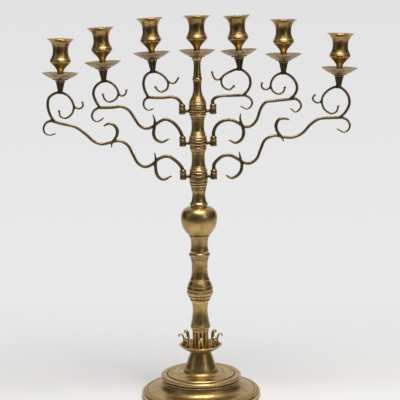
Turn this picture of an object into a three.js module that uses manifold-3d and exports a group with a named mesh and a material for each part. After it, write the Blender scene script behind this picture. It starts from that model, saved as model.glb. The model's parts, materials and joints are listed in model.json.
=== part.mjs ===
// Seven-light brass menorah: a stepped spun foot, a column of turned sections threaded on an
// iron tie rod, and six scrolled arms that hang by pins in the sockets of three hubs.
// Millimetres, +Z up. The origin is on the column's axis, on the plane the foot stands on.
import * as THREE from "three";
import { mergeVertices } from "three/addons/utils/BufferGeometryUtils.js";
import Module from "manifold-3d";

const wasm = await Module();
wasm.setup();

// Driving dimensions. Foot
const footRadius = 90.5;
const footRimHeight = 11;
const stepRadius = 61;
const stepHeight = 36;
const stepFootHeight = 15;
const footWall = 2.5;
const crownRadius = 26;
const crownHeight = 38;

// Lengths of the column's sections, from the foot upwards
const neckLength = 33;
const coronetSeatHeight = 5;
const flutedCollarLength = 31;
const balusterLength = 43;
const knopLength = 32;
const midStemLength = 35.5;
const ringCollarLength = 8.5;
const ballStemLength = 24;
const ballLength = 45;
const upperStemLength = 31;
const hubLength = 20;
const lowHubFootLength = 6;
const spacerLength = 30;
const topStemLength = 66;

// Radii of the column's sections
const neckFootRadius = 24.8;
const neckTopRadius = 15.6;
const coronetRadius = 33;
const coronetUndercut = 3;
const flutedCollarRadius = 12.6;
const balusterWaist = 11.3;
const knopRadius = 20;
const midStemWaist = 12;
const ringCollarRadius = 16.2;
const ballStemWaist = 12.7;
const ballRadius = 27.4;
const ballWall = 3;
const upperStemWaist = 10;
const hubRadius = 13.8;
const spacerWaist = 9.5;
const topStemWaist = 5.2;

// Coronet of leaves above the neck
const leafCount = 8;
const leafWidth = 7;
const leafThickness = 2.2;
const leafHeight = 17;
const leafCurlRadius = 3.2;
const fluteCount = 12;
const fluteDepth = 1.6;

// Tie rod
const rodRadius = 4;
const rodClearance = 0.4;
const rodEntry = 7;
const nutAcrossCorners = 15;
const nutHeight = 7;
const washerRadius = 17;
const washerThickness = 2;
const rodTail = 5;

// Sockets on the hubs, and the arms' pins in them
const pivotReach = 23;
const socketRadius = 4.9;
const socketLength = 10;
const pinRadius = 2.4;
const pinClearance = 0.4;
const pinLength = 8.5;
const earWidth = 6;
const earHeight = 5.5;
const seatDrop = 6;
const topSeatDrop = 8;
const shoulderHeight = 5.5;
const faceGap = 0.3;

// Scrolled arms
const barRadius = 2.3;
const ringRodRadius = 2.1;
const scrollRadius = 2.6;
const tipRadius = 1.4;
const bulbRadius = 2.1;
const thornRadius = 0.9;

// Candle holders: a stub or stem top, a drip pan and a nozzle, held by a stud
const stubHeight = 18.5;
const stubFootRadius = 3.6;
const stubTopRadius = 7.2;
const studRadius = 1.9;
const studClearance = 0.4;
const studLength = 14;
const panRadius = 27;
const panHeight = 11;
const panFloor = 7.3;
const panCollarRadius = 11.6;
const nozzleHeight = 53.5;
const nozzleRimRadius = 20;
const nozzleBulgeRadius = 15.2;
const nozzleWaistRadius = 11.4;
const candleRadius = 9.6;
const candleDepth = 29;

// Facets round a turning and round a rod
const footSides = 28;
const columnSides = 16;
const holderSides = 12;
const pinSides = 12;
const stubSides = 8;
const rodSides = 5;

function brass(color, roughness) {
  return new THREE.MeshStandardMaterial({ color, roughness, metalness: 0.9 });
}

function columnBrass() {
  return brass(0x9a7636, 0.34);
}

function armBrass() {
  return brass(0x6b5128, 0.42);
}

function iron() {
  return new THREE.MeshStandardMaterial({ color: 0x4a4642, roughness: 0.6, metalness: 0.8 });
}

// A closed outline of [radius, height] pairs turned about the vertical axis.
function turned(outline, sides) {
  const points = outline.map(([radius, height]) => new THREE.Vector2(radius, height));
  if (outline[0][0] > 0) {
    points.push(points[0].clone());
  }
  const geometry = new THREE.LatheGeometry(points, sides);
  geometry.rotateX(Math.PI / 2);
  return geometry;
}

// A turned section whose outline runs upwards outside and is closed by the rod's bore.
function bored(outline, sides) {
  const boreRadius = rodRadius + rodClearance;
  const bottom = outline[0][1];
  const top = outline[outline.length - 1][1];
  return turned([[boreRadius, bottom], ...outline, [boreRadius, top]], sides);
}

function toSolid(geometry) {
  const bare = geometry.clone();
  bare.deleteAttribute("normal");
  bare.deleteAttribute("uv");
  const welded = mergeVertices(bare, 1e-4);
  return new wasm.Manifold(new wasm.Mesh({
    numProp: 3,
    vertProperties: new Float32Array(welded.attributes.position.array),
    triVerts: new Uint32Array(welded.index.array),
  }));
}

function toGeometry(solid) {
  const mesh = solid.getMesh();
  const geometry = new THREE.BufferGeometry();
  geometry.setAttribute("position", new THREE.BufferAttribute(mesh.vertProperties, 3));
  geometry.setIndex(new THREE.BufferAttribute(mesh.triVerts, 1));
  return geometry;
}

function joined(geometries) {
  const solids = geometries.map(toSolid);
  return solids.reduce((whole, solid) => whole.add(solid));
}

// A round rod along a smooth line through [x, z] points in the arm's plane. Its radius runs
// through the given values at equal steps along the line.
function taperedRod(points, radii, steps) {
  const line = new THREE.CatmullRomCurve3(
    points.map(([x, z]) => new THREE.Vector3(x, 0, z)), false, "centripetal");
  const positions = [];
  const index = [];
  for (let ring = 0; ring <= steps; ring += 1) {
    const along = ring / steps;
    const centre = line.getPointAt(along);
    const tangent = line.getTangentAt(along);
    const across = new THREE.Vector3(tangent.z, 0, -tangent.x);
    const radius = radiusAlong(radii, along);
    for (let side = 0; side < rodSides; side += 1) {
      const turn = (side / rodSides) * 2 * Math.PI;
      const point = centre.clone().addScaledVector(across, radius * Math.cos(turn));
      positions.push(point.x, radius * Math.sin(turn), point.z);
    }
  }
  for (let ring = 0; ring < steps; ring += 1) {
    for (let side = 0; side < rodSides; side += 1) {
      const next = (side + 1) % rodSides;
      const a = ring * rodSides + side;
      const b = ring * rodSides + next;
      index.push(a, b, b + rodSides, a, b + rodSides, a + rodSides);
    }
  }
  for (let side = 1; side < rodSides - 1; side += 1) {
    const last = steps * rodSides;
    index.push(0, side + 1, side);
    index.push(last, last + side, last + side + 1);
  }
  const geometry = new THREE.BufferGeometry();
  geometry.setAttribute("position", new THREE.Float32BufferAttribute(positions, 3));
  geometry.setIndex(index);
  return geometry;
}

function radiusAlong(radii, along) {
  const place = along * (radii.length - 1);
  const before = Math.min(Math.floor(place), radii.length - 2);
  return THREE.MathUtils.lerp(radii[before], radii[before + 1], place - before);
}

function bulb([x, z], radius) {
  const geometry = new THREE.SphereGeometry(radius, 6, 4);
  geometry.translate(x, 0, z);
  return geometry;
}

// Heights of the column's joints, from the foot upwards
const neckBottom = crownHeight;
const coronetBottom = neckBottom + neckLength;
const collarBottom = coronetBottom + coronetSeatHeight;
const balusterBottom = collarBottom + flutedCollarLength;
const knopBottom = balusterBottom + balusterLength;
const midStemBottom = knopBottom + knopLength;
const ringBottom = midStemBottom + midStemLength;
const ballStemBottom = ringBottom + ringCollarLength;
const ballBottom = ballStemBottom + ballStemLength;
const upperStemBottom = ballBottom + ballLength;
const lowHubBottom = upperStemBottom + upperStemLength;
const lowSpacerBottom = lowHubBottom + lowHubFootLength + hubLength;
const midHubBottom = lowSpacerBottom + spacerLength;
const highSpacerBottom = midHubBottom + hubLength;
const topHubBottom = highSpacerBottom + spacerLength;
const topStemBottom = topHubBottom + hubLength;
const centreSeat = topStemBottom + topStemLength;

const lowSeat = lowSpacerBottom - seatDrop;
const midSeat = highSpacerBottom - seatDrop;
const topSeat = topStemBottom - topSeatDrop;

// Spun shell: a rolled rim, a domed lower disc, a step with a lip and a flat crown.
function footGeometry() {
  const lip = stepRadius - 1.5;
  const boreRadius = rodRadius + rodClearance;
  const inside = crownHeight - footWall;
  return turned([
    [boreRadius, crownHeight],
    [boreRadius, inside],
    [crownRadius, inside],
    [lip - footWall, stepHeight - footWall - 3],
    [stepRadius - footWall - 2, stepFootHeight],
    [footRadius - 9, footRimHeight - footWall],
    [footRadius - 7, 0],
    [footRadius - 2.5, 0],
    [footRadius - 0.5, 3],
    [footRadius, 6.5],
    [footRadius - 1, footRimHeight - 1.5],
    [footRadius - 3.5, footRimHeight],
    [footRadius - 6.5, footRimHeight - 0.2],
    [stepRadius + 8, stepFootHeight - 1],
    [stepRadius + 1, stepFootHeight + 3],
    [lip - 1, stepFootHeight + 11],
    [lip + 0.5, 30],
    [stepRadius, 33],
    [lip, stepHeight - 0.5],
    [lip - 3.5, stepHeight - 0.8],
    [crownRadius + 8, crownHeight - 0.8],
    [crownRadius, crownHeight],
  ], footSides);
}

function neckGeometry() {
  const taper = (neckFootRadius - neckTopRadius) / neckLength;
  return bored([
    [neckFootRadius - 3, neckBottom],
    [neckFootRadius - 0.4, neckBottom + 2.5],
    [neckFootRadius, neckBottom + 5],
    [neckFootRadius - 9 * taper, neckBottom + 12],
    [neckTopRadius, coronetBottom - 1],
    [neckTopRadius - coronetUndercut, coronetBottom],
  ], columnSides);
}

// Upright leaf seen from the side: it rises from the dish and curls over outwards.
function leafGeometry() {
  const half = leafThickness / 2;
  const foot = coronetRadius - 7;
  const base = coronetBottom + coronetSeatHeight;
  const curlHeight = coronetBottom + leafHeight + 6;
  const shape = new THREE.Shape();
  shape.moveTo(foot - half, base);
  shape.lineTo(foot + half, base);
  shape.lineTo(foot + half - 0.6, curlHeight);
  shape.absarc(foot + leafCurlRadius, curlHeight, leafCurlRadius - half, Math.PI, -0.6, true);
  shape.absarc(foot + leafCurlRadius, curlHeight, leafCurlRadius + half, -0.6, Math.PI, false);
  const geometry = new THREE.ExtrudeGeometry(shape, {
    depth: leafWidth, bevelEnabled: false, curveSegments: 3,
  });
  geometry.translate(0, 0, -leafWidth / 2);
  geometry.rotateX(Math.PI / 2);
  return geometry;
}

function coronetGeometry() {
  const seat = collarBottom;
  const dish = turned([
    [rodRadius + rodClearance, coronetBottom],
    [neckTopRadius - coronetUndercut, coronetBottom],
    [coronetRadius - 1, coronetBottom + 8.5],
    [coronetRadius, coronetBottom + 10],
    [coronetRadius - 1.2, coronetBottom + 11],
    [coronetRadius - 10, seat + 3],
    [flutedCollarRadius + 3, seat],
    [rodRadius + rodClearance, seat],
  ], columnSides);
  const pieces = [dish];
  for (let leaf = 0; leaf < leafCount; leaf += 1) {
    const turnedLeaf = leafGeometry();
    turnedLeaf.rotateZ((leaf / leafCount) * 2 * Math.PI);
    pieces.push(turnedLeaf);
  }
  return toGeometry(joined(pieces));
}

// Sleeve with round-bottomed flutes, standing in the dish among the leaves.
function flutedCollarGeometry() {
  const outline = [];
  for (let corner = 0; corner < fluteCount * 2; corner += 1) {
    const turn = (corner / (fluteCount * 2)) * 2 * Math.PI;
    const radius = flutedCollarRadius - (corner % 2) * fluteDepth;
    outline.push(new THREE.Vector2(radius * Math.cos(turn), radius * Math.sin(turn)));
  }
  const shape = new THREE.Shape(outline);
  const bore = new THREE.Path();
  bore.absarc(0, 0, rodRadius + rodClearance, 0, 2 * Math.PI, true);
  shape.holes.push(bore);
  const geometry = new THREE.ExtrudeGeometry(shape, {
    depth: flutedCollarLength, bevelEnabled: false, curveSegments: 6,
  });
  geometry.translate(0, 0, collarBottom);
  return geometry;
}

function balusterGeometry() {
  const top = knopBottom;
  return bored([
    [flutedCollarRadius + 0.8, balusterBottom],
    [balusterWaist + 3.7, balusterBottom + 2.5],
    [balusterWaist + 3.5, balusterBottom + 6],
    [balusterWaist + 1.7, balusterBottom + 13],
    [balusterWaist, balusterBottom + 27],
    [balusterWaist + 0.7, top - 5],
    [balusterWaist + 1.7, top],
  ], columnSides);
}

function knopGeometry() {
  const middle = knopBottom + knopLength / 2;
  return bored([
    [balusterWaist + 2.2, knopBottom],
    [knopRadius - 4, knopBottom + 5],
    [knopRadius - 1.6, middle - 6.5],
    [knopRadius, middle - 1],
    [knopRadius - 0.4, middle + 2],
    [knopRadius - 1.2, middle + 7],
    [knopRadius - 3.5, middle + 11.5],
    [midStemWaist + 2.5, midStemBottom],
  ], columnSides);
}

function midStemGeometry() {
  return bored([
    [midStemWaist + 2.4, midStemBottom],
    [midStemWaist + 0.6, midStemBottom + 9],
    [midStemWaist, midStemBottom + 19],
    [midStemWaist + 0.4, ringBottom - 7],
    [midStemWaist + 1.9, ringBottom],
  ], columnSides);
}

function ringCollarGeometry() {
  return bored([
    [ringCollarRadius - 1.6, ringBottom],
    [ringCollarRadius, ringBottom + 2.5],
    [ringCollarRadius - 0.4, ringBottom + 5],
    [ballStemWaist + 1.2, ballStemBottom],
  ], columnSides);
}

function ballStemGeometry() {
  return bored([
    [ballStemWaist + 1, ballStemBottom],
    [ballStemWaist, ballStemBottom + 9],
    [ballStemWaist + 0.4, ballBottom - 5],
    [ballStemWaist + 1.8, ballBottom],
  ], columnSides);
}

// Hollow ball with a bead under it and flat seats at both ends.
function ballGeometry() {
  const centre = ballBottom + 26;
  const boreRadius = rodRadius + rodClearance;
  const beadRadius = ballStemWaist + 2.9;
  const topRadius = upperStemWaist + 5.8;
  const outline = [[boreRadius, ballBottom], [beadRadius, ballBottom]];
  const inner = [];
  const stretch = 0.83;
  const steps = 7;
  for (let step = 0; step <= steps; step += 1) {
    const turn = THREE.MathUtils.degToRad(-50 + (105 * step) / steps);
    outline.push([ballRadius * Math.cos(turn), centre + ballRadius * stretch * Math.sin(turn)]);
    const within = ballRadius - ballWall;
    inner.unshift([within * Math.cos(turn), centre + within * stretch * Math.sin(turn)]);
  }
  const top = upperStemBottom;
  return turned([
    ...outline, [topRadius - 0.5, top], [boreRadius, top],
    [boreRadius, top - ballWall], ...inner.filter((point, place) => place % 2 === 1),
    [boreRadius, ballBottom + ballWall],
  ], columnSides);
}

function upperStemGeometry() {
  return bored([
    [upperStemWaist + 3.6, upperStemBottom],
    [upperStemWaist + 3.4, upperStemBottom + 3],
    [upperStemWaist + 1, upperStemBottom + 9],
    [upperStemWaist, upperStemBottom + 17],
    [upperStemWaist + 0.9, lowHubBottom - 6],
    [upperStemWaist + 1.7, lowHubBottom],
  ], columnSides);
}

function spacerGeometry(bottom) {
  const top = bottom + spacerLength;
  return bored([
    [spacerWaist + 1.6, bottom],
    [spacerWaist + 0.6, bottom + 6],
    [spacerWaist, bottom + 14],
    [spacerWaist + 0.5, top - 7],
    [spacerWaist + 1.5, top],
  ], columnSides);
}

// Ringed hub with an ear and an upright socket on each side for an arm's pin.
function hubGeometry(bottom, seat, footLength) {
  const top = bottom + footLength + hubLength;
  const waist = bottom + footLength;
  const foot = footLength > 0
    ? [[hubRadius - 2, bottom], [hubRadius - 0.1, waist - 1]]
    : [[hubRadius - 1.6, bottom]];
  const body = toSolid(bored([
    ...foot,
    [hubRadius - 1.2, waist + 4],
    [hubRadius, waist + 6],
    [hubRadius, top - 4],
    [hubRadius - 1.4, top],
  ], columnSides));
  const boreRadius = pinRadius + pinClearance;
  return toGeometry([-1, 1].reduce((hub, side) => {
    const ear = new THREE.BoxGeometry(pivotReach - rodRadius * 2, earWidth, earHeight);
    ear.translate(side * (pivotReach / 2 + rodRadius), 0, seat - socketLength / 2);
    const socket = new THREE.CylinderGeometry(socketRadius, socketRadius, socketLength, pinSides);
    socket.rotateX(Math.PI / 2);
    socket.translate(side * pivotReach, 0, seat - socketLength / 2);
    const bore = new THREE.CylinderGeometry(boreRadius, boreRadius, socketLength * 2, pinSides);
    bore.rotateX(Math.PI / 2);
    bore.translate(side * pivotReach, 0, seat - socketLength / 2);
    return hub.add(toSolid(ear)).add(toSolid(socket)).subtract(toSolid(bore));
  }, body));
}

// Tapered stem with a small node; a blind bore below takes the rod, a stud above the nozzle.
function topStemGeometry() {
  const bottom = topStemBottom;
  const boreRadius = rodRadius + rodClearance;
  return turned([
    [0, bottom + rodEntry + 1],
    [boreRadius, bottom + rodEntry + 1],
    [boreRadius, bottom],
    [hubRadius - 1.2, bottom],
    [topStemWaist + 6, bottom + 3.5],
    [topStemWaist + 4.3, bottom + 7],
    [topStemWaist + 2.2, bottom + 11.5],
    [topStemWaist + 0.9, bottom + 18],
    [topStemWaist + 0.8, bottom + 27],
    [topStemWaist + 2.2, bottom + 34],
    [topStemWaist + 0.8, bottom + 39],
    [topStemWaist, bottom + 50],
    [topStemWaist + 1, centreSeat - 4],
    [stubTopRadius, centreSeat],
    [studRadius, centreSeat],
    [studRadius, centreSeat + studLength],
    [0, centreSeat + studLength],
  ], holderSides);
}

const rodBottom = crownHeight - footWall - washerThickness - nutHeight - rodTail;

function rodGeometry() {
  const top = topStemBottom + rodEntry;
  return turned([[0, rodBottom], [rodRadius, rodBottom], [rodRadius, top], [0, top]], pinSides);
}

function washerGeometry() {
  const top = crownHeight - footWall;
  const boreRadius = rodRadius + rodClearance;
  const bottom = top - washerThickness;
  return turned([
    [boreRadius, bottom], [washerRadius, bottom], [washerRadius, top], [boreRadius, top],
  ], columnSides);
}

function nutGeometry() {
  const top = crownHeight - footWall - washerThickness;
  const corner = nutAcrossCorners / 2;
  const hexagon = new THREE.CylinderGeometry(corner, corner, nutHeight, 6);
  hexagon.rotateX(Math.PI / 2);
  hexagon.translate(0, 0, top - nutHeight / 2);
  const boreRadius = rodRadius + rodClearance;
  const bore = new THREE.CylinderGeometry(boreRadius, boreRadius, nutHeight * 2, pinSides);
  bore.rotateX(Math.PI / 2);
  bore.translate(0, 0, top - nutHeight / 2);
  return toGeometry(toSolid(hexagon).subtract(toSolid(bore)));
}

// Drip pan. Its heights, and the nozzle's, are above the seat that the pan's collar stands on.
function panGeometry() {
  const boreRadius = studRadius + studClearance;
  return turned([
    [boreRadius, faceGap],
    [stubTopRadius + 0.6, faceGap],
    [panCollarRadius, 1.8],
    [panCollarRadius + 4, 4],
    [panRadius - 0.3, panHeight - 0.9],
    [panRadius, panHeight],
    [panCollarRadius, panFloor],
    [boreRadius, panFloor],
  ], holderSides);
}

function nozzleGeometry() {
  const foot = panFloor + faceGap;
  const studTop = studLength + 1;
  const rim = foot + nozzleHeight;
  const boreRadius = studRadius + studClearance;
  return turned([
    [0, studTop],
    [boreRadius, studTop],
    [boreRadius, foot],
    [5, foot],
    [4.5, foot + 3.5],
    [6.8, foot + 10.5],
    [11, foot + 15],
    [nozzleBulgeRadius, foot + 19.5],
    [nozzleBulgeRadius - 2.2, foot + 26],
    [nozzleWaistRadius, foot + 33],
    [nozzleWaistRadius + 0.6, foot + 41],
    [nozzleRimRadius - 4, rim - 3.5],
    [nozzleRimRadius, rim - 1],
    [nozzleRimRadius - 0.5, rim],
    [candleRadius + 0.9, rim - 8],
    [candleRadius, rim - 13],
    [candleRadius, rim - candleDepth],
    [0, rim - candleDepth],
  ], holderSides);
}

// Centre lines as [outwards, upwards] from the pin's axis at the socket's mouth. Each arm is
// bent by hand, so no two are the same. The first ring point lies on the bar, the end hook
// carries on from the bar, and holder is where the stub stands on the ring.
const armPlans = [
  {
    name: "left_inner", side: -1, seat: topSeat, holder: [42.3, 53], tilt: 2.8,
    bar: [[0, 4], [2, 8], [7, 13.5], [14, 16], [30, 15], [51, 16]],
    endHook: [[51, 16], [56, 11], [57, 4], [54, -1], [49, -3], [43, -1]],
    ring: [[50, 16], [55, 27], [56.5, 38], [53, 48], [43, 54], [29, 49], [20.5, 38],
      [22, 28], [30, 24], [36, 26.5], [39, 31]],
    sideHook: [[21, 40], [16.5, 37], [11, 36.5], [7.5, 40], [5, 44]],
    scrolls: [],
  },
  {
    name: "left_middle", side: -1, seat: midSeat, holder: [115, 88], tilt: 2.5,
    bar: [[0, 4], [2.5, 11], [9, 21.5], [16, 27.5], [25, 31], [34, 27.5], [43, 21], [53, 17.5],
      [63, 21.5], [71, 33], [79, 45], [89, 50.5], [105, 49.5], [124, 49.5]],
    endHook: [[124, 49.5], [131, 45], [134, 37], [131.5, 31], [125, 29], [117, 34]],
    ring: [[122, 49.5], [128, 60], [131, 71], [127, 81.5], [114, 89], [101, 83.5], [94, 71],
      [98, 62], [108, 58], [114.5, 62], [117, 69]],
    sideHook: [[95, 73], [92.5, 68.5], [88, 66.5], [83.5, 69.5], [82, 75]],
    scrolls: [[[43.5, 38], [41, 30], [41.5, 20], [43, 9], [40, 1.5], [31, -3], [20.5, 1.5]]],
  },
  {
    name: "left_outer", side: -1, seat: lowSeat, holder: [180, 122], tilt: -2,
    bar: [[0, 4], [2.5, 9.5], [10, 18], [22, 25.5], [35, 22.5], [46, 13.5], [57, 10], [67, 15.5],
      [75, 30], [82, 43], [94, 49.5], [107, 47.5], [119, 45], [131, 48.5], [145, 61],
      [160, 71.5], [178, 76], [195, 81]],
    endHook: [[195, 81], [202, 78], [206.5, 69], [204, 62], [197, 59.5], [189, 61.5]],
    ring: [[190, 79.5], [196, 90], [199, 103], [196.5, 115.5], [182, 123], [168, 117],
      [160.5, 102], [164, 90.5], [173, 84.5], [181, 87.5], [182.5, 95]],
    sideHook: [[161, 104], [158, 100], [152, 98.5], [147, 102], [147.5, 107.5]],
    scrolls: [
      [[42, 31], [40.5, 22], [41, 10], [39, -2], [34, -8], [28, -9.5], [18, -4.5]],
      [[106, 40], [105, 47], [98, 57], [97, 66], [102, 73.5], [110, 75.5], [116, 72.5]],
    ],
  },
  {
    name: "right_inner", side: 1, seat: topSeat, holder: [40, 55], tilt: -3,
    bar: [[0, 4], [-1, 9], [3, 14], [12, 16.5], [27, 17], [47, 17.5]],
    endHook: [[47, 17.5], [54.5, 13], [58, 6.5], [55.5, 0], [49.5, -3], [41, 1]],
    ring: [[45, 17.5], [52, 25], [55.5, 35], [53, 46], [40, 56], [25, 52], [14.5, 45],
      [12.5, 36], [17, 28.5], [25, 26], [31, 31]],
    sideHook: [[15, 45], [10, 41.5], [5, 41], [1, 45], [-1, 52]],
    scrolls: [],
  },
  {
    name: "right_middle", side: 1, seat: midSeat, holder: [104.5, 96.5], tilt: 0,
    bar: [[0, 4], [0.5, 12], [5, 21], [13, 27], [24, 29], [35, 25.5], [46, 18.5], [56, 19.5],
      [64, 27.5], [71, 46], [78, 54.5], [91, 56.5], [107, 58], [122, 59.5]],
    endHook: [[122, 59.5], [127.5, 55.5], [130.5, 49], [128, 43], [122, 39.5], [115, 44.5]],
    ring: [[113, 58.5], [121, 65.5], [124.5, 76], [119, 89], [105, 97.5], [92, 93], [85.5, 81],
      [89, 70.5], [98, 66.5], [104, 69.5], [106.5, 76]],
    sideHook: [[86, 79], [82.5, 74.5], [77, 73.5], [72, 77.5], [72.5, 83]],
    scrolls: [[[40.5, 38], [40, 30], [43.5, 18], [45, 9], [42, 0], [33, -5.5], [24, -1.5]]],
  },
  {
    name: "right_outer", side: 1, seat: lowSeat, holder: [186, 125], tilt: 2,
    bar: [[0, 4], [0.5, 12.5], [6, 19.5], [14, 25], [24, 26], [34, 21.5], [44, 15], [54, 13.5],
      [64, 20], [70, 34], [77, 48.5], [91, 54.5], [104, 52.5], [117, 51.5], [132, 57.5],
      [145, 71], [158, 79], [174, 80], [191, 80.5]],
    endHook: [[191, 80.5], [199, 76.5], [203, 68], [200, 61], [194, 58.5], [184, 63.5]],
    ring: [[187, 80], [196, 88], [202, 101], [199, 115], [186, 126], [171, 121.5],
      [161.5, 109], [164, 94.5], [175, 86.5], [183, 89.5], [185.5, 97]],
    sideHook: [[162, 107], [158, 103.5], [152, 103.5], [147.5, 109], [150.5, 114.5]],
    scrolls: [
      [[38, 31], [40, 21], [42, 10], [40, 1], [34, -5.5], [26, -8.5], [19, -4.5]],
      [[104.5, 46], [101, 52.5], [94, 63], [93.5, 72], [98, 79], [106, 80], [112, 78.5]],
    ],
  },
];

function mirrored(points, side) {
  return points.map(([outwards, upwards]) => [side * outwards, upwards]);
}

// Pin, shoulder, bar, hooks, ring and scrolls of one casting, with the holder's stub and stud.
function armGeometry(plan) {
  const lay = (points) => mirrored(points, plan.side);
  const ring = lay(plan.ring);
  const sideHook = lay(plan.sideHook);
  const shoulder = turned([
    [0, -pinLength],
    [pinRadius, -pinLength],
    [pinRadius, faceGap],
    [socketRadius, faceGap],
    [socketRadius, shoulderHeight - 2],
    [socketRadius - 2, shoulderHeight],
    [0, shoulderHeight + 0.5],
  ], pinSides);
  const stub = turned([
    [0, -ringRodRadius * 0.6],
    [stubFootRadius, -ringRodRadius * 0.6],
    [stubFootRadius, 2],
    [stubTopRadius - 1.2, stubHeight - 2.5],
    [stubTopRadius, stubHeight],
    [studRadius, stubHeight],
    [studRadius, stubHeight + studLength],
    [0, stubHeight + studLength],
  ], stubSides);
  placeOnHolder(stub, plan, 0);
  const pieces = [
    shoulder,
    taperedRod(lay(plan.bar), [barRadius + 0.5, barRadius, barRadius - 0.1, barRadius],
      Math.round(plan.bar.length * 1.6)),
    taperedRod(ring, [ringRodRadius, ringRodRadius, tipRadius + 0.3, tipRadius], 16),
    bulb(ring[ring.length - 1], bulbRadius),
    taperedRod(lay(plan.endHook), [barRadius, tipRadius], 6),
    taperedRod(sideHook, [tipRadius + 0.3, tipRadius], 5),
    bulb(sideHook[sideHook.length - 1], bulbRadius - 0.2),
    stub,
  ];
  for (const scroll of plan.scrolls) {
    pieces.push(taperedRod(lay(scroll),
      [thornRadius, scrollRadius - 0.3, scrollRadius, barRadius, tipRadius], 9));
  }
  return toGeometry(joined(pieces));
}

// The stub leans with the holder, about the point where it stands on the ring.
function placeOnHolder(geometry, plan, lift) {
  geometry.translate(0, 0, lift);
  geometry.rotateY(THREE.MathUtils.degToRad(plan.side * plan.tilt));
  geometry.translate(plan.side * plan.holder[0], 0, plan.holder[1]);
}

function named(name, geometry, material) {
  const mesh = new THREE.Mesh(geometry, material);
  mesh.name = name;
  return mesh;
}

const group = new THREE.Group();

group.add(
  named("base_foot", footGeometry(), columnBrass()),
  named("neck_cone", neckGeometry(), columnBrass()),
  named("coronet", coronetGeometry(), columnBrass()),
  named("fluted_collar", flutedCollarGeometry(), columnBrass()),
  named("lower_baluster", balusterGeometry(), columnBrass()),
  named("knop", knopGeometry(), columnBrass()),
  named("mid_stem", midStemGeometry(), columnBrass()),
  named("ring_collar", ringCollarGeometry(), columnBrass()),
  named("ball_stem", ballStemGeometry(), columnBrass()),
  named("ball", ballGeometry(), columnBrass()),
  named("upper_stem", upperStemGeometry(), columnBrass()),
  named("hub_low", hubGeometry(lowHubBottom, lowSeat, lowHubFootLength), columnBrass()),
  named("spacer_low", spacerGeometry(lowSpacerBottom), columnBrass()),
  named("hub_mid", hubGeometry(midHubBottom, midSeat, 0), columnBrass()),
  named("spacer_high", spacerGeometry(highSpacerBottom), columnBrass()),
  named("hub_top", hubGeometry(topHubBottom, topSeat, 0), columnBrass()),
  named("top_stem", topStemGeometry(), columnBrass()),
  named("tie_rod", rodGeometry(), iron()),
  named("rod_washer", washerGeometry(), iron()),
  named("rod_nut", nutGeometry(), iron()),
);

const centreHolder = new THREE.Group();
centreHolder.position.set(0, 0, centreSeat);
centreHolder.add(
  named("centre_pan", panGeometry(), columnBrass()),
  named("centre_nozzle", nozzleGeometry(), columnBrass()),
);
group.add(centreHolder);

for (const plan of armPlans) {
  const arm = new THREE.Group();
  arm.position.set(plan.side * pivotReach, 0, plan.seat);
  const pan = panGeometry();
  placeOnHolder(pan, plan, stubHeight);
  const nozzle = nozzleGeometry();
  placeOnHolder(nozzle, plan, stubHeight);
  arm.add(
    named(`${plan.name}_arm`, armGeometry(plan), armBrass()),
    named(`${plan.name}_pan`, pan, columnBrass()),
    named(`${plan.name}_nozzle`, nozzle, columnBrass()),
  );
  group.add(arm);
}

export default group;
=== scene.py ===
import json
import math

import bmesh
import bpy
import numpy as np
from mathutils import Matrix, Vector


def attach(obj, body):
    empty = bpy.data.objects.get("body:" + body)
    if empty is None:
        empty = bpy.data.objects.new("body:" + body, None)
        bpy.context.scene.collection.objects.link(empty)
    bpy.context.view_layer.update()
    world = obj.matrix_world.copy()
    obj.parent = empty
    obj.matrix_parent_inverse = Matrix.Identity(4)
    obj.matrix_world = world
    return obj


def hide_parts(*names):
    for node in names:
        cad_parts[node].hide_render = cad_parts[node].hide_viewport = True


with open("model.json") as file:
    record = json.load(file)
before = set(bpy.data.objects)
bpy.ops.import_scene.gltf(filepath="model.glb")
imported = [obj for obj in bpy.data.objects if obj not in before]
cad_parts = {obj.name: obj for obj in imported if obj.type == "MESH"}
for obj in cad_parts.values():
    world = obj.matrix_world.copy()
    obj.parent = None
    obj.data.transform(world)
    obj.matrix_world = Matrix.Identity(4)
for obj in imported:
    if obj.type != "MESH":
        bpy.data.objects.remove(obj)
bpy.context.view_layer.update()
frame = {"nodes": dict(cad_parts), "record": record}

mm = 0.001  # sizes below are in millimetres, the scene is in metres
riding = {node: body for body,
          members in frame["record"]["behaviour"]["bodies"].items() for node in members}


# materials

def nodeTree(name):
    material = bpy.data.materials.new(name)
    material.use_nodes = True
    tree = material.node_tree
    return material, tree, tree.nodes["Principled BSDF"]


def addNode(tree, kind, **values):
    node = tree.nodes.new(kind)
    for key, value in values.items():
        setattr(node, key, value)
    return node


def setInputs(node, **values):
    for key, value in values.items():
        node.inputs[key.replace("_", " ")].default_value = value
    return node


def noiseNode(tree, vector, scale, detail=3.0, roughness=0.55, distortion=0.0):
    node = setInputs(addNode(tree, "ShaderNodeTexNoise"), Scale=scale, Detail=detail,
                     Roughness=roughness, Distortion=distortion)
    tree.links.new(vector, node.inputs["Vector"])
    return node.outputs["Fac"]


def ramp(tree, value, *stops):
    node = addNode(tree, "ShaderNodeValToRGB")
    tree.links.new(value, node.inputs["Fac"])
    elements = node.color_ramp.elements
    while len(elements) < len(stops):
        elements.new(0.5)
    for element, (position, shade) in zip(elements, stops):
        element.position = position
        element.color = (*shade, 1) if hasattr(shade, "__len__") else (shade, shade, shade, 1)
    return node.outputs["Color"]


def blend(tree, factor, first, second, mode="MIX"):
    node = addNode(tree, "ShaderNodeMix", data_type="RGBA", blend_type=mode)
    for socket, value in ((node.inputs[0], factor), (node.inputs[6], first), (node.inputs[7], second)):
        if hasattr(value, "links"):
            tree.links.new(value, socket)
        else:
            socket.default_value = value if isinstance(value, float) else (*value, 1)
    return node.outputs[2]


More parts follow.
